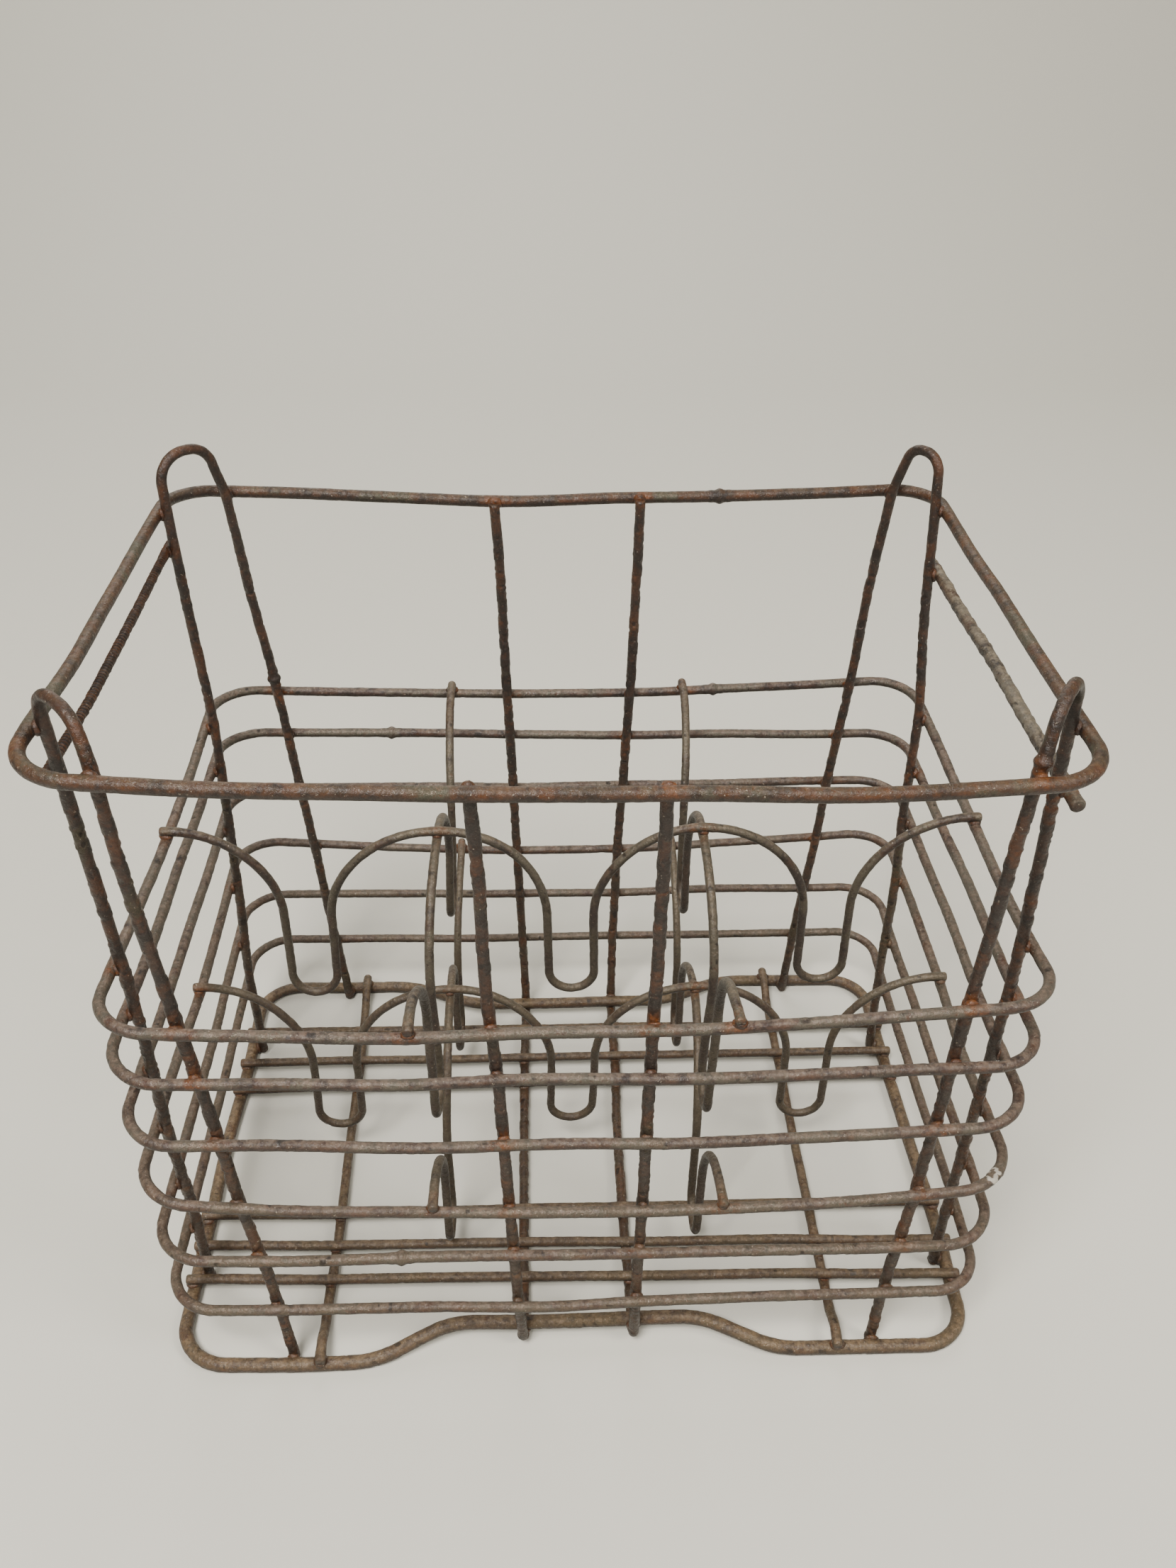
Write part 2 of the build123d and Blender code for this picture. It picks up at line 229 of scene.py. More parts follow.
# Single marks: butt joints, the lump of lime, rolled ridges and a wire that rust has swollen
JOINT_Y = INSIDE_Y + RIM_WIRE / 2
BUTT_JOINTS = {
    "rim": (74.0, JOINT_Y, 318.0),
    "hoop_1": (78.0, JOINT_Y, 211.0),
    "hoop_2": (-94.0, JOINT_Y, 186.0),
    "hoop_5": (-76.0, -JOINT_Y, 76.0),
    "corner_loop_back_left": (-147.0, JOINT_Y, 224.0),
    "corner_loop_front_right": (153.0, -JOINT_Y, 325.0),
}
LIME_LUMPS = {"hoop_4": (INSIDE_X - 4, -INSIDE_Y + 2, 116.0)}
RIDGE_HEIGHTS = {"handle_left": 0.5}
RIDGE_PITCH = 2.1
RIDGE_STRAY = 0.8  # most that a ridge is out of step
RIDGE_SINK = 0.2  # share of their height by which the ridges are sunk into the wire
SWOLLEN_HEIGHTS = {"handle_right": 0.6}

# Welds: two wires that come nearer than the reach are welded, and points of a wire that are more
# than the break apart, as counted along it, belong to separate welds
WELD_REACH = 1.0
WELD_BREAK = 6

# Weld beads: rings, columns, thickness, least and most added to the length, width and thickness,
# depth of the roughness and how much fine noise is in it, relief that the colour follows, and the
# lowest point
BEAD_RINGS = 9
BEAD_COLUMNS = 14
BEAD_THICKNESS = 1.7
BEAD_LEAST = (0.2, 0.2, 0.0)
BEAD_MOST = (1.1, 1.1, 0.5)
BEAD_ROUGHNESS = 0.55
BEAD_FINENESS = 0.6
BEAD_RELIEF = 0.15
BEAD_LOWEST = 0.1


# ---------------------------------------------------------------- centre lines


def bow(half_length, droop):
    """Depth of the V and radius of its arc that make a side droop by the given amount."""
    depth = droop / (1 - BOW_REACH / 2)
    return depth, BOW_REACH * half_length**2 / depth


def side_middle(name, side):
    """Height of a hoop halfway along a side: the mean of its two corners less its droop."""
    wire, corners, droops = HOOPS[name]
    return (corners[side] + corners[(side + 1) % 4]) / 2 - droops[side]


def hoop_height(name, side, x):
    """Height of a hoop at x on its front (0) or back (2) side: a slope plus a parabola."""
    wire, corners, droops = HOOPS[name]
    half_x = INSIDE_X + wire / 2
    depth, radius = bow(half_x, droops[side])
    slope = (corners[side] - corners[side + 1]) / (2 * half_x) * (side - 1)
    return side_middle(name, side) + slope * x + x**2 / (2 * radius)


def rack_at(height, corner):
    """How far the rack has moved a wire: in proportion to its height between hoop_1 and the rim."""
    low = HOOPS["hoop_1"][1][corner]
    high = HOOPS["rim"][1][corner]
    return RACK * (height - low) / (high - low)


def hoop_route(name):
    """Corners and bend radii of a hoop, with a shallow V, rounded to a bow, in each side."""
    wire, corners, droops = HOOPS[name]
    half_x = INSIDE_X + wire / 2
    half_y = INSIDE_Y + wire / 2
    shift = RACK if name == "rim" else 0
    places = [(-half_x, -half_y), (half_x, -half_y), (half_x, half_y), (-half_x, half_y)]
    points = []
    radii = []
    for side, (x, y) in enumerate(places):
        next_x, next_y = places[(side + 1) % 4]
        depth, radius = bow(np.hypot(next_x - x, next_y - y) / 2, droops[side])
        middle = side_middle(name, side) + droops[side] - depth
        points += [(x + shift, y, corners[side])]
        points += [((x + next_x) / 2 + shift, (y + next_y) / 2, middle)]
        radii += [CORNER_RADIUS, radius]
    return points, radii


def base_ring_route():
    """Corners and bend radii of the base ring, its long sides stepped in and up at the middle."""
    half_x = INSIDE_X + BASE_WIRE / 2
    half_y = INSIDE_Y + BASE_WIRE / 2
    low = BASE_WIRE / 2
    points = []
    radii = []
    for side in (-1, 1):
        outer = side * half_y
        inner = side * (half_y - JOG_INSETS[side])
        points += [
            (side * half_x, outer, low),
            (side * JOG_OUTER_X, outer, low),
            (side * JOG_INNER_X, inner, RAISED_HEIGHT),
            (-side * JOG_INNER_X, inner, RAISED_HEIGHT),
            (-side * JOG_OUTER_X, outer, low),
            (-side * half_x, outer, low),
        ]
        radii += [CORNER_RADIUS] + [JOG_RADIUS] * 4 + [CORNER_RADIUS]
    return points, radii


def corner_loop_route(name):
    """Foot, rim bend, two top corners, rack bend and foot of a corner loop."""
    side_x, side_y, corner, rise, long_rim, long_foot, short_rim, short_foot = CORNER_LOOPS[name]
    rim_height = HOOPS["rim"][1][corner]
    hoop_1_height = HOOPS["hoop_1"][1][corner]
    top = rim_height + rise
    short_lean = (short_rim - short_foot) / (rim_height - FOOT_HEIGHT)
    long_top = (side_x * (long_rim + LOOP_LEAN_X), side_y * (UPRIGHT_Y - LOOP_LEAN_Y))
    short_top_y = side_y * (short_rim + short_lean * rise)
    short_top = (side_x * UPRIGHT_X + rack_at(top, corner), short_top_y)
    short_bend_y = short_foot + short_lean * (hoop_1_height - FOOT_HEIGHT)
    span = np.hypot(long_top[0] - short_top[0], long_top[1] - short_top[1])
    top_radius = min(LOOP_TOP_RADIUS, LOOP_TOP_SHARE * span)
    points = [
        (side_x * long_foot, side_y * UPRIGHT_Y, FOOT_HEIGHT),
        (side_x * long_rim, side_y * UPRIGHT_Y, rim_height),
        (*long_top, top),
        (*short_top, top),
        (side_x * UPRIGHT_X, side_y * short_bend_y, hoop_1_height),
        (side_x * UPRIGHT_X, side_y * short_foot, FOOT_HEIGHT),
    ]
    return points, [LOOP_SHOULDER_RADIUS, top_radius, top_radius, RACK_RADIUS]


def bend_under(side, x):
    """Corner of a U wire below the raised base ring, where its leg lies against the ring."""
    bend = RAISED_HEIGHT - RUN_HEIGHT
    bar_y = INSIDE_Y + BASE_WIRE / 2 - JOG_INSETS[side]
    across = UPRIGHT_Y - bar_y
    above = KNEE_HEIGHT - RAISED_HEIGHT
    lean = np.arctan2(across, above) - np.arcsin(bend / np.hypot(across, above))
    return (x, side * (bar_y + bend * np.tan((np.pi / 2 - lean) / 2)), RUN_HEIGHT)


def u_wire_route(name):
    """Front top, knee, two tight bends under the base ring, knee and back top of a U wire."""
    front_x, back_x, floor_x = U_WIRES[name]
    proud = RIM_WIRE / 2 - UPRIGHT_BELOW_RIM
    front_top = hoop_height("rim", 0, front_x - RACK) + proud
    back_top = hoop_height("rim", 2, back_x - RACK) + proud
    front_knee_x = floor_x + (front_x - floor_x) * KNEE_HEIGHT / front_top
    back_knee_x = floor_x + (back_x - floor_x) * KNEE_HEIGHT / back_top
    points = [
        (front_x, -UPRIGHT_Y, front_top),
        (front_knee_x, -UPRIGHT_Y, KNEE_HEIGHT),
        bend_under(-1, floor_x),
        bend_under(1, floor_x),
        (back_knee_x, UPRIGHT_Y, KNEE_HEIGHT),
        (back_x, UPRIGHT_Y, back_top),
    ]
    bend = RAISED_HEIGHT - RUN_HEIGHT
    return points, [KNEE_RADIUS, bend, bend, KNEE_RADIUS]


def cross_wire_route(name):
    """A low floor wire whose ends climb on to the base ring."""
    front_x, back_x = CROSS_WIRES[name]
    climb_end = INSIDE_Y - KINK_START
    climb_start = climb_end - KINK_RUN
    stations = [
        (-OUTER_Y, LONG_WIRE_HEIGHT),
        (-climb_end, LONG_WIRE_HEIGHT),
        (-climb_start, RUN_HEIGHT),
        (climb_start, RUN_HEIGHT),
        (climb_end, LONG_WIRE_HEIGHT),
        (OUTER_Y, LONG_WIRE_HEIGHT),
    ]
    middle_x = (front_x + back_x) / 2
    slant = (back_x - front_x) / (2 * OUTER_Y)
    return [(middle_x + slant * y, y, z) for y, z in stations], [KINK_RADIUS] * 4


def handle_route(name):
    """The two ends of a straight handle, outside the legs of the loops."""
    side, diameter, height, front_y, back_y = HANDLES[name]
    x = side * (INSIDE_X + diameter / 2) + rack_at(height, 0)
    return [(x, front_y, height), (x, back_y, height)], []


def divider_route(end, rest, end_heights, dips, crests):
    """Stations, heights and bend radii of a wavy wire: level ends, narrow dips, wide crests.

    Every bend is a quarter circle whose radius is half the width of its dip or crest, so two of
    them make a half circle.
    """
    first = dips[0][0] - DIP_RADIUS
    last = dips[-1][0] + DIP_RADIUS
    stations = [(-end, end_heights[0]), (first, end_heights[0])]
    radii = [rest + first]
    for index, (dip, bottom) in enumerate(dips):
        stations += [(dip - DIP_RADIUS, bottom), (dip + DIP_RADIUS, bottom)]
        radii += [DIP_RADIUS, DIP_RADIUS]
        if index < len(crests):
            half_crest = (dips[index + 1][0] - dip) / 2 - DIP_RADIUS
            stations += [(dip + DIP_RADIUS, crests[index])]
            stations += [(dips[index + 1][0] - DIP_RADIUS, crests[index])]
            radii += [half_crest, half_crest]
    stations += [(last, end_heights[1]), (end, end_heights[1])]
    radii += [rest - last]
    return stations, radii


def divider_routes(tier):
    """Routes of one tier: a lengthwise divider over two crosswise ones."""
    hoop, crest, long_dips, cross_dips, cross_x = TIERS[tier]
    rest_gap = (HOOP_WIRE + DIVIDER_WIRE) / 2 + WELD_GAP
    heights = [side_middle(hoop, 3) + rest_gap, side_middle(hoop, 1) + rest_gap]
    stations, radii = divider_route(
        INSIDE_X + HOOP_WIRE, INSIDE_X + HOOP_WIRE / 2, heights, long_dips, [crest, crest]
    )
    yield f"{tier}_divider_long", [(x, 0, z) for x, z in stations], radii, (0, 1, 0)
    for name, (front_x, back_x) in cross_x.items():
        heights = [hoop_height(hoop, 0, front_x), hoop_height(hoop, 2, back_x)]
        heights = [height + rest_gap for height in heights]
        stations, radii = divider_route(
            INSIDE_Y + HOOP_WIRE, INSIDE_Y + HOOP_WIRE / 2, heights, cross_dips,
            [crest - DIVIDER_WIRE - WELD_GAP],
        )
        slant = (back_x - front_x) / (2 * INSIDE_Y)
        middle = (front_x + back_x) / 2
        points = [(middle + slant * y, y, z) for y, z in stations]
        yield f"{tier}_divider_cross_{name}", points, radii, (1, 0, 0)


def rounded_line(points, radii, closed, step):
    """Evenly spaced points along straight runs joined by tangent arcs, and their distances along
    the line. A line with ends has more points there, for the rings of its nipped ends.

    An arc starts at its corner's distance radius times tan(half the turn) along each run, and
    its points are centre + radius (cos a, sin a) in the plane of the two runs.
    """
    points = np.array(points, float)
    count = len(points)
    pieces = []
    corners = range(count) if closed else range(1, count - 1)
    if not closed:
        pieces.append(points[:1])
    for place, index in enumerate(corners):
        corner = points[index]
        back = points[index - 1] - corner
        ahead = points[(index + 1) % count] - corner
        back /= np.linalg.norm(back)
        ahead /= np.linalg.norm(ahead)
        turn = np.pi - np.arccos(np.clip(back @ ahead, -1, 1))
        inward = (back + ahead) / np.linalg.norm(back + ahead)
        radius = radii[place]
        centre = corner + inward * radius / np.cos(turn / 2)
        sideways = ahead - inward * (ahead @ inward)
        sideways /= np.linalg.norm(sideways)
        arc_steps = max(ARC_POINTS, int(turn / ARC_STEP))
        angles = np.linspace(-turn / 2, turn / 2, arc_steps)[:, None]
        pieces.append(centre + radius * (np.sin(angles) * sideways - np.cos(angles) * inward))
    pieces.append(pieces[0][:1] if closed else points[-1:])
    line = np.concatenate(pieces)
    lengths = np.linalg.norm(np.diff(line, axis=0), axis=1)
    line = line[np.concatenate([[True], lengths > SHORTEST])]
    lengths = lengths[lengths > SHORTEST]
    along = np.concatenate([[0], np.cumsum(lengths)])
    steps = int(round(along[-1] / step))
    if closed:
        stations = np.linspace(0, along[-1], steps, endpoint=False)
    else:
        inner = np.linspace(END_ROUND, along[-1] - END_ROUND, steps)
        nipped = END_ROUND * END_RINGS
        stations = np.concatenate([nipped, inner, along[-1] - nipped[::-1]])
    return np.stack([np.interp(stations, along, line[:, axis]) for axis in range(3)], 1), stations


# ---------------------------------------------------------------- rust relief


def lattice_noise(points, size, seed):
    """Smooth random value from 0 to 1: hashed values on a cubic lattice `size` mm apart, blended
    along each axis by 3f^2 - 2f^3."""
    scaled = points / size + seed * SEED_SHIFT
    cell = np.floor(scaled).astype(np.int64)
    part = scaled - cell
    blend = part * part * (3 - 2 * part)
    total = np.zeros(points.shape[:-1])
    for corner in range(8):
        bits = np.array([corner & 1, corner >> 1 & 1, corner >> 2 & 1])
        x, y, z = np.moveaxis((cell + bits) * HASH_AXES, -1, 0)
        mixed = x ^ y ^ z ^ seed * HASH_SEED
        mixed = (mixed ^ mixed >> 13) * HASH_MIX & 0xFFFFFFFF
        value = ((mixed ^ mixed >> 16) & 0xFFFF) / 0xFFFF
        total += value * np.prod(np.where(bits, blend, 1 - blend), axis=-1)
    return total


def ramp(value, low, high):
    """0 below low, 1 above high, and 3t^2 - 2t^3 between them."""
    part = np.clip((value - low) / (high - low), 0, 1)
    return part * part * (3 - 2 * part)


def two_noises(points, coarse, fine, fineness):
    """A coarse noise plus fineness times a fine one, less their mean."""
    mean = (1 + fineness) / 2
    return lattice_noise(points, *coarse) + fineness * lattice_noise(points, *fine) - mean


def bell(distance, width):
    """exp(-(distance / width)^2): 1 at no distance, and almost nothing at twice the width."""
    return np.exp(-(distance / width) ** 2)


def crookedness(line):
    """How far a hand-worn wire has strayed from its line: three slow noises of place, so that
    wires that touch stray together, with the one along Z fading out at the floor."""
    stray = np.stack([lattice_noise(line, STRAY_LENGTH, seed) for seed in STRAY_SEEDS], 1) - 0.5
    stray[:, 2] *= np.clip(line[:, 2] / STRAY_FADE, 0, 1)
    return stray * STRAY_SWING


def rust_relief(points, flake_height, pit_depth):
    """Height of the rusted surface over the clean wire, in mm: a fine crust of two noises, a slow
    swell, raised flakes of scale where a slow noise is high, and pits where a fine one is low."""
    crust = two_noises(points, COARSE_CRUST, FINE_CRUST, CRUST_FINENESS)
    swell = lattice_noise(points, *SWELL) - 0.5
    rags = lattice_noise(points, *FLAKE_RAGS) * (1 - FLAKE_SHARE)
    flakes = ramp(lattice_noise(points, *FLAKES) * FLAKE_SHARE + rags, *FLAKE_EDGE)
    pits = ramp(lattice_noise(points, *PITS), *PIT_EDGE)
    return CRUST_HEIGHT * crust + SWELL_HEIGHT * swell + flake_height * flakes - pit_depth * pits


def wire_surface(name, wire, bare):
    """What use and weather have added to a clean wire at each of its ring points: the relief, in
    mm, and two masks from 0 to 1, of rust at the welds and of lime.

    The relief is the rust, plus a noise on a swollen wire, a bell at each weld, a bell with a
    collar on each side at a butt joint, a sine of the distance along a ridged wire, and a lump
    of lime, which is a bell broken up by a noise.
    """
    stations = wire["stations"]
    flake_height, pit_depth = wire["rust"]
    unworn = 1 - WORN_AWAY * ramp(bare[..., 2], *WORN_HEIGHTS)
    relief = rust_relief(bare, flake_height * unworn, pit_depth * unworn)
    if name in SWOLLEN_HEIGHTS:
        relief += SWOLLEN_HEIGHTS[name] * lattice_noise(bare, *SWOLLEN_LUMPS)
    to_weld = np.full(relief.shape, FAR)
    for place in wire["welds"]:
        to_weld = np.minimum(to_weld, np.linalg.norm(bare - place, axis=-1))
    height, width = WELD_SWELLING
    relief += height * bell(to_weld, width)
    if name in BUTT_JOINTS:
        nearest = np.argmin(np.linalg.norm(wire["line"] - BUTT_JOINTS[name], axis=1))
        gap = np.abs(stations - stations[nearest])[:, None]
        height, width = BUTT_SWELLING
        collar_height, collar_width = COLLAR_SWELLING
        collar = collar_height * bell(gap - COLLAR_DISTANCE, collar_width)
        relief += height * bell(gap, width) + collar
    if name in RIDGE_HEIGHTS:
        phase = stations + RIDGE_STRAY * lattice_noise(wire["line"], *RIDGE_WANDER)
        ridge = np.sin(2 * np.pi * phase / RIDGE_PITCH)[:, None] * 0.5 - RIDGE_SINK
        relief += RIDGE_HEIGHTS[name] * ridge
    lime = np.zeros(relief.shape)
    if name in LIME_LUMPS:
        height, width = LIME_SWELLING
        lime += bell(np.linalg.norm(bare - LIME_LUMPS[name], axis=-1), width)
        lime *= ramp(lattice_noise(bare, *LIME_GRAIN), *LIME_EDGE)
        relief += height * lime
    return relief, bell(to_weld, WELD_RUST_WIDTH), lime


# ---------------------------------------------------------------- meshes


def new_piece(name, vertices, faces, attributes, material, node_names):
    """A mesh object at the origin from vertex and face arrays in mm, riding on the crate."""
    mesh = bpy.data.meshes.new(name)
    mesh.vertices.add(len(vertices))
    mesh.vertices.foreach_set("co", (vertices * MM).astype(np.float32).ravel())
    corners = np.concatenate([face.ravel() for face in faces]).astype(np.int32)
    sizes = np.concatenate([np.full(len(face), face.shape[1]) for face in faces])
    mesh.loops.add(len(corners))
    mesh.loops.foreach_set("vertex_index", corners)
    mesh.polygons.add(len(sizes))
    starts = np.concatenate([[0], np.cumsum(sizes)[:-1]]).astype(np.int32)
    mesh.polygons.foreach_set("loop_start", starts)
    mesh.polygons.foreach_set("use_smooth", np.ones(len(sizes), bool))
    for label, values in attributes.items():
        layer = mesh.attributes.new(label, "FLOAT", "POINT")
        layer.data.foreach_set("value", values.astype(np.float32).ravel())
    mesh.update(calc_edges=True)
    mesh.validate()
    mesh.materials.append(material)
    piece = bpy.data.objects.new(name, mesh)
    bpy.context.scene.collection.objects.link(piece)
    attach(piece, "root")
    if node_names:
        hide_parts(*node_names)
    return piece


def tube_directions(line, closed, reference):
    """Two unit directions square to the line at each point: reference x tangent, and the tangent
    x that."""
    if closed:
        tangent = np.roll(line, -1, axis=0) - np.roll(line, 1, axis=0)
    else:
        tangent = np.gradient(line, axis=0)
    tangent /= np.linalg.norm(tangent, axis=1)[:, None]
    side = np.cross(reference, tangent)
    side /= np.linalg.norm(side, axis=1)[:, None]
    return side, np.cross(tangent, side)


def grid_faces(rows, columns, closed):
    """Quads of a grid of rings, each ring closed on itself."""
    row = np.arange(rows if closed else rows - 1)[:, None]
    column = np.arange(columns)[None, :]
    below = row * columns
    above = (row + 1) % rows * columns
    ahead = (column + 1) % columns
    return np.stack([below + column, below + ahead, above + ahead, above + column], -1).reshape(-1, 4)


def end_faces(rows, columns):
    """Triangles from the first ring of a grid to one more point, and from the last to another."""
    ring = np.arange(columns)
    ahead = (ring + 1) % columns
    count = rows * columns
    last = count - columns
    start = np.stack([np.full(columns, count), ahead, ring], 1)
    end = np.stack([np.full(columns, count + 1), last + ring, last + ahead], 1)
    return np.concatenate([start, end])


def make_wire(name, wire, material):
    """The tube of one wire: ring points line + r (cos a, sin a), with r the wire's radius plus
    its relief, drawn in at a nipped end, which triangles close to the end of the line."""
    line = wire["line"]
    stations = wire["stations"]
    closed = wire["closed"]
    around = wire["around"]
    side, across = tube_directions(line, closed, wire["reference"])
    angles = np.linspace(0, 2 * np.pi, around, endpoint=False)[None, :, None]
    outward = np.cos(angles) * side[:, None] + np.sin(angles) * across[:, None]
    radius = wire["diameter"] / 2
    relief, rust, lime = wire_surface(name, wire, line[:, None] + radius * outward)
    reach = radius + relief
    if not closed:
        from_end = np.minimum(stations, stations[-1] - stations)
        drawn_in = END_DRAWN_IN * np.clip(1 - from_end / END_ROUND, 0, 1) ** 2
        reach *= (1 - drawn_in)[:, None]
    vertices = (line[:, None] + reach[..., None] * outward).reshape(-1, 3)
    vertices[:, 2] = np.maximum(vertices[:, 2], LOWEST)
    faces = [grid_faces(len(line), around, closed)]
    attributes = {"rust": rust.ravel(), "relief": relief.ravel(), "crust": lime.ravel()}
    if not closed:
        vertices = np.concatenate([vertices, line[:1], line[-1:]])
        faces.append(end_faces(len(line), around))
        for label, at_ends in {"rust": 0.5, "relief": 0.0, "crust": 0.0}.items():
            attributes[label] = np.append(attributes[label], [at_ends, at_ends])
    return new_piece(name, vertices, faces, attributes, material, [name])


def make_weld_beads(welds, material):
    """One mesh of all the weld beads. Each is an ellipsoid, place + length (sin p cos a) + width
    (sin p sin a) + thickness (cos p), as long and wide as the wires are thick and thin between
    them, moved outward by noise."""
    rings = BEAD_RINGS - 2
    polar = np.linspace(0, np.pi, BEAD_RINGS)[1:-1, None]
    about = np.linspace(0, 2 * np.pi, BEAD_COLUMNS, endpoint=False)[None, :]
    unit = np.stack(
        [np.sin(polar) * np.cos(about), np.sin(polar) * np.sin(about),
         np.cos(polar) * np.ones_like(about)], -1,
    ).reshape(-1, 3)
    unit = np.concatenate([unit, [[0, 0, 1], [0, 0, -1]]])
    random = np.random.default_rng(7)
    beads = []
    for weld in welds:
        normal = weld["normal"]
        along = weld["along"] - normal * (weld["along"] @ normal)
        along /= np.linalg.norm(along)
        axes = np.stack([along, np.cross(normal, along), normal])
        added = random.uniform(BEAD_LEAST, BEAD_MOST)
        sizes = added + (weld["radius"], weld["radius"], BEAD_THICKNESS)
        bead = weld["place"] + unit * sizes @ axes
        bump = two_noises(bead, BEAD_LUMPS, BEAD_GRAIN, BEAD_FINENESS)
        beads.append(bead + unit @ axes * (BEAD_ROUGHNESS * bump)[:, None])
    vertices = np.concatenate(beads)
    vertices[:, 2] = np.maximum(vertices[:, 2], BEAD_LOWEST)
    offsets = np.arange(len(beads))[:, None, None] * len(unit)
    quads = grid_faces(rings, BEAD_COLUMNS, False)[:, ::-1] + offsets
    triangles = end_faces(rings, BEAD_COLUMNS)[:, [0, 2, 1]] + offsets
    relief = BEAD_RELIEF * (lattice_noise(vertices, *BEAD_SCALE) - 0.5)
    attributes = {"rust": np.ones(len(vertices)), "relief": relief}
    faces = [quads.reshape(-1, 4), triangles.reshape(-1, 3)]
    return new_piece("weld_beads", vertices, faces, attributes, material, [])


def find_welds(wires):
    """A weld at each place where two wires come within WELD_REACH of touching, at the nearest
    points of their lines. Its place is noted on both wires."""
    welds = []
    names = list(wires)
    for first_index, first in enumerate(names):
        for second in names[first_index + 1:]:
            one, two = wires[first], wires[second]
            reach = (one["diameter"] + two["diameter"]) / 2 + WELD_REACH
            low = np.maximum(one["line"].min(0), two["line"].min(0)) - reach
            high = np.minimum(one["line"].max(0), two["line"].max(0)) + reach
            inside_one = np.nonzero(((one["line"] >= low) & (one["line"] <= high)).all(1))[0]
            inside_two = np.nonzero(((two["line"] >= low) & (two["line"] <= high)).all(1))[0]
            if not len(inside_one) or not len(inside_two):
                continue
            apart = one["line"][inside_one][:, None] - two["line"][inside_two][None]
            distance = np.linalg.norm(apart, axis=-1)
            nearest = distance.min(1)
            close = np.nonzero(nearest < reach)[0]
            if not len(close):
                continue
            breaks = np.nonzero(np.diff(inside_one[close]) > WELD_BREAK)[0] + 1
            for run in np.split(close, breaks):
                best = run[np.argmin(nearest[run])]
                mate = inside_two[np.argmin(distance[best])]
                weld = weld_between(one, two, inside_one[best], mate)
                one["welds"].append(weld["place"])
                two["welds"].append(weld["place"])
                welds.append(weld)
    return welds


def weld_between(one, two, index, mate):
    """The weld of two wires, on the line that joins their nearest points, where it leaves the
    first wire's surface."""
    line = one["line"]
    normal = two["line"][mate] - line[index]
    normal /= np.linalg.norm(normal)
    along = line[min(index + 1, len(line) - 1)] - line[max(index - 1, 0)]
    return {
        "place": line[index] + normal * one["diameter"] / 2,
        "normal": normal,
        "along": along / np.linalg.norm(along),
        "radius": (one["diameter"] + two["diameter"]) / 4,
    }


# ---------------------------------------------------------------- materials


def linear(hex_colour):
    """Linear RGBA of an sRGB hex colour."""
    channels = [int(hex_colour[i:i + 2], 16) / 255 for i in (1, 3, 5)]
    return [c / 12.92 if c <= 0.04045 else ((c + 0.055) / 1.055) ** 2.4 for c in channels] + [1]


def add_node(tree, kind, inputs, **settings):
    """Adds a node with its settings; each input is a value, or a socket to link from."""
    node = tree.nodes.new(kind)
    for name, value in settings.items():
        setattr(node, name, value)
    for name, value in inputs.items():
        if isinstance(value, bpy.types.NodeSocket):
            tree.links.new(value, node.inputs[name])
        else:
            node.inputs[name].default_value = value
    return node


# Noises on the wire: size in mm, detail, roughness and a shift in metres that keeps them apart
NOISES = {
    "patches": (32.0, 4.0, 0.6, 0.0),
    "blotches": (7.0, 4.0, 0.6, 0.31),
    "grains": (1.5, 3.0, 0.7, 0.57),
    "specks": (1.1, 2.0, 0.6, 0.83),
    "rust_patches": (13.0, 4.0, 0.65, 1.7),
    "weld_patches": (3.4, 3.0, 0.6, 2.3),
    "dust_patches": (4.0, 4.0, 0.7, 3.1),
    "rusty_stretches": (48.0, 2.0, 0.5, 4.1),
}
ZINC_SHINE = 0.5  # how metallic the zinc is, dulled as it is by weather
BUMP_DEPTH = 0.7


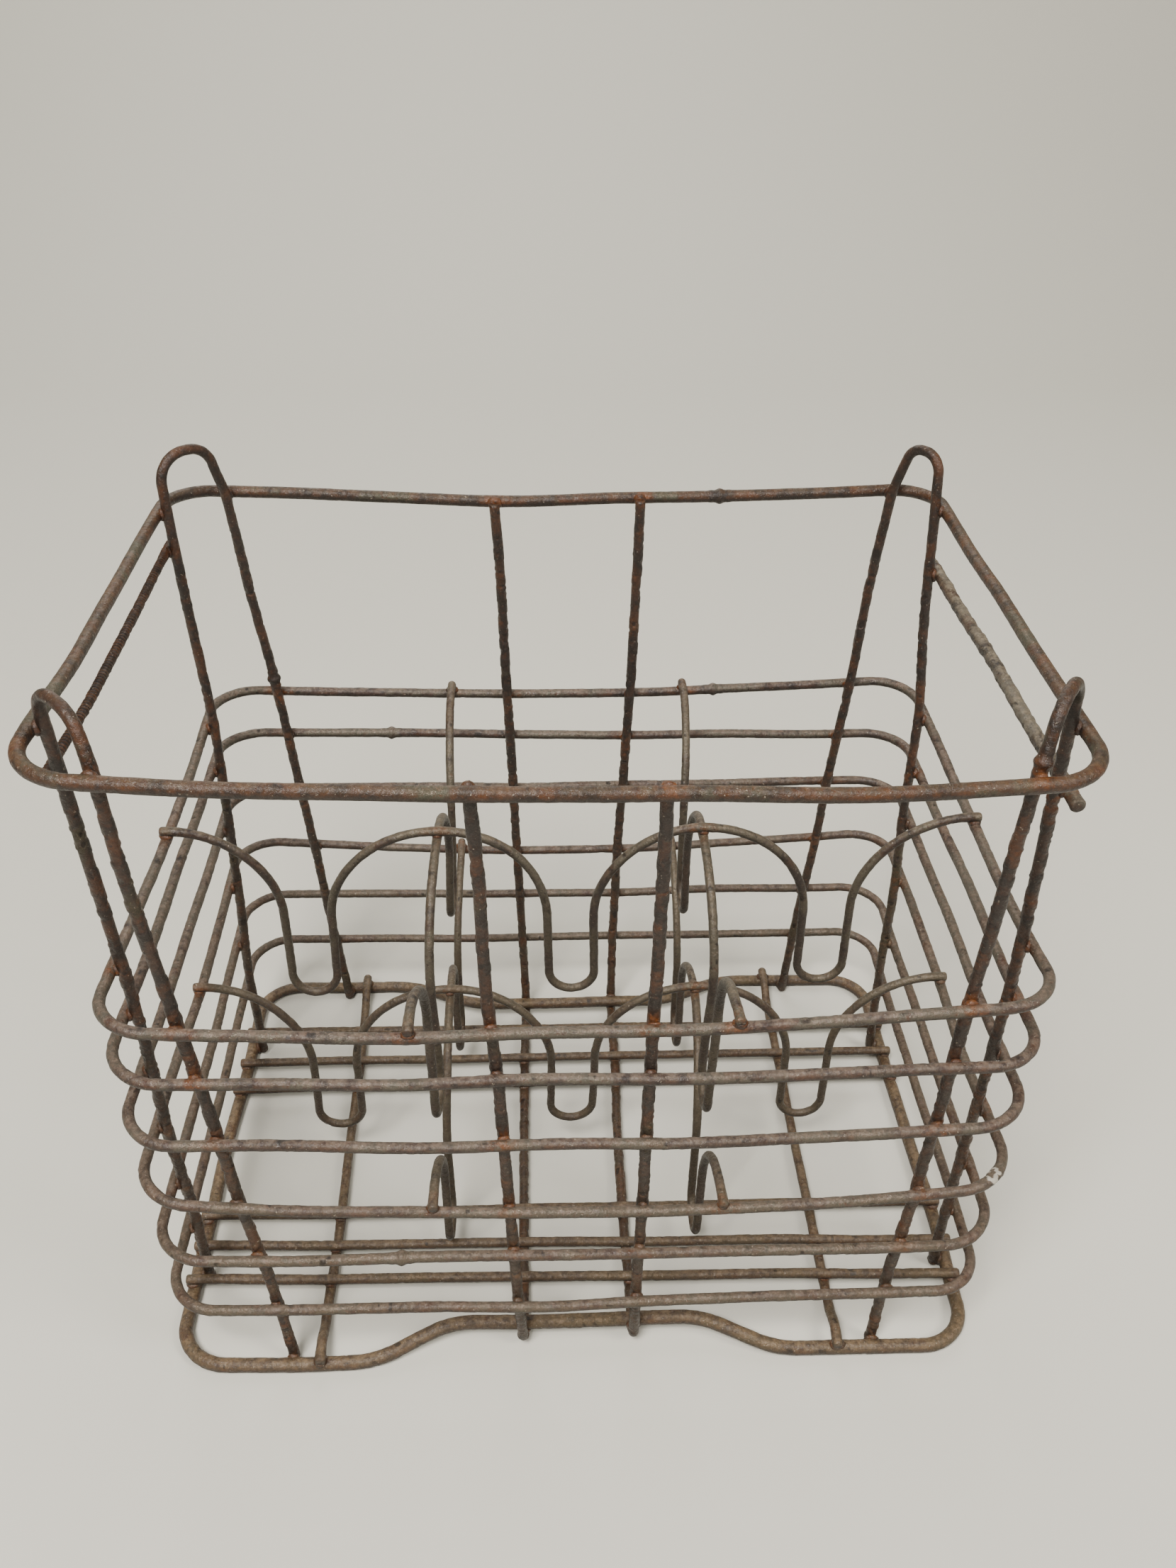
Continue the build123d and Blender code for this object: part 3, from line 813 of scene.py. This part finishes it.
def galvanised_wire(name, oxide, dark, zinc, zinc_amount, dust, dust_amount, scale_amount, rust_amount):
    """Hot-dip galvanised steel wire after decades outdoors.

    It was drawn, welded and dipped in zinc. The zinc is left as dull grey patches, a little
    metallic; elsewhere the steel has gone to matt brown oxide, darker where scale has lifted and
    orange at the welds. Dry dust lies on what faces up, and painted shade darkens the undersides.
    """
    material = bpy.data.materials.new(name)
    material.use_nodes = True
    tree = material.node_tree
    tree.nodes.clear()
    place = add_node(tree, "ShaderNodeTexCoord", {}).outputs["Object"]
    facing = add_node(tree, "ShaderNodeNewGeometry", {}).outputs["Normal"]
    signals = {
        "up": add_node(tree, "ShaderNodeSeparateXYZ", {0: facing}).outputs["Z"],
        "level": add_node(tree, "ShaderNodeSeparateXYZ", {0: place}).outputs["Z"],
    }
    for label in ("rust", "relief", "crust"):
        signals[label] = add_node(tree, "ShaderNodeAttribute", {}, attribute_name=label).outputs["Fac"]
    for label, (size_mm, detail, roughness, shift) in NOISES.items():
        moved = add_node(tree, "ShaderNodeMapping", {"Vector": place, "Location": (shift, shift, 0)})
        settings = {"Scale": 1 / MM / size_mm, "Detail": detail, "Roughness": roughness}
        noise = add_node(tree, "ShaderNodeTexNoise", {"Vector": moved.outputs[0], **settings})
        signals[label] = noise.outputs["Fac"]

    # Level of the patches above which zinc is left: the more zinc, the lower
    zinc_edge = 0.7 - 0.3 * zinc_amount

    # What is laid over the oxide, real marks and one layer of painted shade, from the bottom up: its
    # colour, then each mask that it is multiplied by, as signal, where it starts, where it is full and
    # how strong it is there
    layers = {
        "dark oxide": (dark, [("blotches", 0.4, 0.6, 1.0)]),
        "lifted scale": ("#1d1510", [("relief", 0.02, 0.12, scale_amount)]),
        "warm rust": ("#5e3414", [("rust_patches", 0.48, 0.64, rust_amount)]),
        "zinc": (zinc, [
            ("patches", zinc_edge - 0.04, zinc_edge + 0.05, 1.0), ("grains", 0.34, 0.52, 1.0),
        ]),
        "weld rust": ("#6f3c10", [
            ("rust", 0.12, 0.9, 1.0), ("weld_patches", 0.36, 0.58, 0.9),
            ("rusty_stretches", 0.38, 0.6, 1.0), ("level", -0.06, 0.2, 1.0),
        ]),
        "dust": (dust, [("up", 0.1, 0.95, 1.0), ("dust_patches", 0.32, 0.62, dust_amount)]),
        "dirt low down": ("#675540", [("level", 0.2, 0.06, 1.0), ("blotches", 0.3, 0.65, 0.4)]),
        "pale specks": ("#a89b88", [("specks", 0.67, 0.73, 0.7)]),
        "pits": ("#150e0a", [("relief", -0.06, -0.2, 0.75)]),
        "dark grain": ("#120c09", [("grains", 0.36, 0.62, 0.32)]),
        # Painted shade: faces that look down are darkened towards near-black, standing in for the
        # shadow under each wire
        "painted shade underneath": ("#1b130e", [("up", 0.42, -0.4, 0.8)]),
        "lime crust": ("#c3bcae", [("crust", 0.15, 0.5, 0.85)]),
    }
    colour = linear(oxide)
    cover = {}
    for label, (tint, masks) in layers.items():
        cover[label] = 1.0
        for signal, start, full, strength in masks:
            mask = add_node(
                tree, "ShaderNodeMapRange",
                {"Value": signals[signal], "From Min": start, "From Max": full, "To Max": strength},
                interpolation_type="SMOOTHSTEP",
            )
            factors = {0: cover[label], 1: mask.outputs["Result"]}
            cover[label] = add_node(tree, "ShaderNodeMath", factors, operation="MULTIPLY").outputs[0]
        blend = {0: cover[label], 6: colour, 7: linear(tint)}
        colour = add_node(tree, "ShaderNodeMix", blend, data_type="RGBA").outputs[2]

    shine = {0: cover["zinc"], 1: ZINC_SHINE}
    metallic = add_node(tree, "ShaderNodeMath", shine, operation="MULTIPLY")
    roughness = add_node(
        tree, "ShaderNodeMapRange",
        {"Value": signals["grains"], "From Min": 0.3, "From Max": 0.7, "To Min": 0.3, "To Max": 0.62},
    )
    bumps = {0: signals["grains"], 1: signals["blotches"]}
    height = add_node(tree, "ShaderNodeMath", bumps, operation="ADD")
    bump = add_node(
        tree, "ShaderNodeBump",
        {"Height": height.outputs[0], "Strength": 0.8, "Distance": BUMP_DEPTH * MM},
    )
    shader = add_node(
        tree, "ShaderNodeBsdfPrincipled",
        {"Base Color": colour, "Metallic": metallic.outputs[0], "Roughness": roughness.outputs[0],
         "Normal": bump.outputs[0]},
    )
    add_node(tree, "ShaderNodeOutputMaterial", {"Surface": shader.outputs[0]})
    return material


# Drawn steel that has lost nearly all its zinc: dark flakes of mill scale stand over rust brown
SCALED_STEEL = dict(
    oxide="#412819", dark="#20140c", zinc="#565040", zinc_amount=0.2, dust="#5f462e",
    dust_amount=0.35, scale_amount=0.75, rust_amount=0.6,
)
# Galvanised wire rubbed by hands for decades: a smooth warm brown, with some grey zinc left
RIM_STEEL = dict(
    oxide="#4a2f1c", dark="#27190f", zinc="#5c594a", zinc_amount=0.42, dust="#6c583e",
    dust_amount=0.4, scale_amount=0.3, rust_amount=0.65,
)
# Galvanised wire bleached by weather: long stretches of dull grey zinc between purple brown
HOOP_STEEL = dict(
    oxide="#443128", dark="#271a15", zinc="#676155", zinc_amount=0.68, dust="#847160",
    dust_amount=0.6, scale_amount=0.35, rust_amount=0.3,
)
# Galvanised wire that has stood on dirty ground: tan dust caked over brown
BASE_STEEL = dict(
    oxide="#503c2b", dark="#2e2118", zinc="#6b5f4c", zinc_amount=0.5, dust="#8d7556",
    dust_amount=0.7, scale_amount=0.3, rust_amount=0.3,
)
# Galvanised wire that bottles have stood on: dusty, and a little darker than the base
FLOOR_STEEL = dict(
    oxide="#4a3727", dark="#2d2018", zinc="#685d4c", zinc_amount=0.5, dust="#836d52",
    dust_amount=0.7, scale_amount=0.3, rust_amount=0.3,
)
# Galvanised wire sheltered inside the crate: grey zinc kept on its crests, dark brown between
DIVIDER_STEEL = dict(
    oxide="#3a2c22", dark="#211813", zinc="#665f51", zinc_amount=0.7, dust="#82725c",
    dust_amount=0.55, scale_amount=0.4, rust_amount=0.2,
)
# Galvanised wire coarsened by rust: a pale grey-brown grain
HANDLE_STEEL = dict(
    oxide="#4f4236", dark="#2b211a", zinc="#7b7467", zinc_amount=0.75, dust="#94866f",
    dust_amount=0.65, scale_amount=0.4, rust_amount=0.35,
)
# Steel bare of zinc, rolled into ribs or melted by the weld: matt orange-brown rust
RUSTY_STEEL = dict(
    oxide="#52301b", dark="#2b190f", zinc="#6a5a48", zinc_amount=0.1, dust="#6f5237",
    dust_amount=0.35, scale_amount=0.3, rust_amount=0.8,
)
# Finishes: name of the material, a slot name and its settings
FINISHES = {
    "rim": ("rim_galvanised_gone_brown", "scaled_wire", RIM_STEEL),
    "hoop": ("hoop_galvanised_weathered", "hoop_wire", HOOP_STEEL),
    "base": ("base_galvanised_dusty", "dusty_wire", BASE_STEEL),
    "scaled": ("upright_steel_with_flaking_scale", "scaled_wire", SCALED_STEEL),
    "floor": ("floor_galvanised_dusty", "dusty_wire", FLOOR_STEEL),
    "divider": ("divider_galvanised_weathered", "divider_wire", DIVIDER_STEEL),
    "handle": ("handle_galvanised_pitted", "scaled_wire", HANDLE_STEEL),
    "rusty": ("steel_rusted_orange", "scaled_wire", RUSTY_STEEL),
}


# ---------------------------------------------------------------- the crate


def new_wire(route, diameter, reference, finish, rust=PLAIN_RUST, mesh=PLAIN_MESH, closed=False):
    """A wire's crooked centre line, with its diameter, finish, rust and mesh."""
    step, around = mesh
    line, stations = rounded_line(*route, closed, step)
    return {
        "line": line + crookedness(line), "stations": stations, "closed": closed, "welds": [],
        "diameter": diameter, "reference": reference, "around": around, "finish": finish,
        "rust": rust,
    }


def all_wires():
    """Every wire of the crate, by name."""
    wires = {}
    up = (0, 0, 1)
    sideways = (1, 0, 0)
    for name, (diameter, corners, droops) in HOOPS.items():
        finish = "rim" if name == "rim" else "hoop"
        wires[name] = new_wire(hoop_route(name), diameter, up, finish, closed=True)
    wires["base_ring"] = new_wire(base_ring_route(), BASE_WIRE, up, "base", closed=True)
    for name, (side_x, side_y, *rest) in CORNER_LOOPS.items():
        reference = (side_x * LOOP_SIDEWAYS[0], side_y * LOOP_SIDEWAYS[1], 0)
        rust = FRONT_LOOP_RUST if side_y < 0 else BACK_LOOP_RUST
        route = corner_loop_route(name)
        wires[name] = new_wire(route, UPRIGHT_WIRE, reference, "scaled", rust, FINE_MESH)
    for name in U_WIRES:
        route = u_wire_route(name)
        wires[name] = new_wire(route, UPRIGHT_WIRE, sideways, "scaled", U_WIRE_RUST, FINE_MESH)
    for name in CROSS_WIRES:
        wires[name] = new_wire(cross_wire_route(name), FLOOR_WIRE, sideways, "floor")
    for name, (left_y, right_y) in LONG_WIRES.items():
        ends = [(-OUTER_X, left_y, LONG_WIRE_HEIGHT), (OUTER_X, right_y, LONG_WIRE_HEIGHT)]
        wires[name] = new_wire((ends, []), FLOOR_WIRE, up, "floor")
    for name, (side, diameter, *rest) in HANDLES.items():
        finish = "rusty" if side < 0 else "handle"
        wires[name] = new_wire(handle_route(name), diameter, up, finish, HANDLE_RUST, FINE_MESH)
    for tier in TIERS:
        for name, points, radii, reference in divider_routes(tier):
            wires[name] = new_wire((points, radii), DIVIDER_WIRE, reference, "divider")
    return wires


def make_crate():
    """All the wires, then the weld beads between them."""
    materials = {
        finish: galvanised_wire(name, **settings)
        for finish, (name, slot, settings) in FINISHES.items()
    }
    wires = all_wires()
    welds = find_welds(wires)
    for name, wire in wires.items():
        piece = make_wire(name, wire, materials[wire["finish"]])
    beads = make_weld_beads(welds, materials["rusty"])


# ---------------------------------------------------------------- studio, in metres

# Floor: front edge, where its turn upward begins, radius of the turn, half width, height, points
# in the turn, colour and roughness
FLOOR_FRONT = -3.0
FLOOR_LEVEL_END = 1.3
FLOOR_TURN = 0.8
FLOOR_HALF_WIDTH = 4.0
FLOOR_TOP = 4.0
FLOOR_STEPS = 24
FLOOR_COLOUR = "#dedacd"
FLOOR_ROUGHNESS = 0.85

# Lights: place, size, power in watts and colour, each turned towards the middle of the crate
CRATE_MIDDLE = (0, 0, 0.15)
LIGHTS = {
    "front_window": ((-0.6, -1.2, 2.1), 0.8, 72, (1, 0.98, 0.95)),
    "side_window": ((1.5, -0.9, 1.7), 0.8, 26, (1, 0.97, 0.93)),
    "back_fill": ((-0.2, 1.7, 1.6), 1.2, 14, (0.95, 0.98, 1)),
}
AIR_COLOUR = "#e6e3dc"
AIR_STRENGTH = 0.28

# Camera: place, pitch down, yaw and roll in degrees, and lens and sensor in mm
CAMERA_PLACE = (-0.0148, -0.4849, 0.5662)
CAMERA_TURNS = (34.17, -2.53, 0.77)
CAMERA_LENS = 30.58
CAMERA_SENSOR = 36.0


def make_floor():
    """A pale matt floor that curves up into a backdrop: level, a quarter circle, then upright."""
    angles = np.linspace(0, np.pi / 2, FLOOR_STEPS)
    wall_y = FLOOR_LEVEL_END + FLOOR_TURN
    turn_y = FLOOR_LEVEL_END + FLOOR_TURN * np.sin(angles)
    profile_y = np.concatenate([[FLOOR_FRONT], turn_y, [wall_y]])
    profile_z = np.concatenate([[0.0], FLOOR_TURN * (1 - np.cos(angles)), [FLOOR_TOP]])
    count = len(profile_y)
    left = np.stack([np.full(count, -FLOOR_HALF_WIDTH), profile_y, profile_z], 1)
    vertices = np.concatenate([left, left * [-1, 1, 1]])
    row = np.arange(count - 1)
    faces = np.stack([row, row + count, row + count + 1, row + 1], 1)
    mesh = bpy.data.meshes.new("studio_floor")
    mesh.from_pydata(vertices.tolist(), [], faces.tolist())
    mesh.polygons.foreach_set("use_smooth", np.ones(len(faces), bool))
    floor = bpy.data.objects.new("studio_floor", mesh)
    bpy.context.scene.collection.objects.link(floor)
    material = bpy.data.materials.new("pale_matt_floor")
    material.use_nodes = True
    shader = material.node_tree.nodes["Principled BSDF"]
    shader.inputs["Base Color"].default_value = linear(FLOOR_COLOUR)
    shader.inputs["Roughness"].default_value = FLOOR_ROUGHNESS
    mesh.materials.append(material)


def add_light(name, place, size, power, colour):
    """A square soft light, turned towards the middle of the crate."""
    light = bpy.data.lights.new(name, "AREA")
    light.shape = "SQUARE"
    light.size = size
    light.energy = power
    light.color = colour
    lamp = bpy.data.objects.new(name, light)
    bpy.context.scene.collection.objects.link(lamp)
    lamp.location = place
    towards = Vector(CRATE_MIDDLE) - Vector(place)
    lamp.rotation_euler = towards.to_track_quat("-Z", "Y").to_euler()


def make_lights():
    """Soft daylight from the front and above, weaker from the right and weakest from behind, in
    pale air."""
    for name, (place, size, power, colour) in LIGHTS.items():
        add_light(name, place, size, power, colour)
    world = bpy.data.worlds.new("studio_air")
    world.use_nodes = True
    world.node_tree.nodes["Background"].inputs[0].default_value = linear(AIR_COLOUR)
    world.node_tree.nodes["Background"].inputs[1].default_value = AIR_STRENGTH
    bpy.context.scene.world = world


def make_camera():
    """The camera stands in front of the crate and looks down on it."""
    pitch, yaw, roll = np.radians(CAMERA_TURNS)
    forward = Vector((-np.sin(yaw) * np.cos(pitch), np.cos(yaw) * np.cos(pitch), -np.sin(pitch)))
    level = Vector((np.cos(yaw), np.sin(yaw), 0))
    upward = level.cross(forward)
    right = level * float(np.cos(roll)) + upward * float(np.sin(roll))
    upward = right.cross(forward)
    camera = bpy.data.cameras.new("camera")
    camera.sensor_fit = "VERTICAL"
    camera.sensor_height = CAMERA_SENSOR
    camera.lens = CAMERA_LENS
    camera.clip_start = 0.01
    holder = bpy.data.objects.new("camera", camera)
    bpy.context.scene.collection.objects.link(holder)
    turn = Matrix((right, upward, -forward)).transposed().to_4x4()
    holder.matrix_world = Matrix.Translation(CAMERA_PLACE) @ turn
    bpy.context.scene.camera = holder


make_crate()
make_floor()
make_lights()
make_camera()
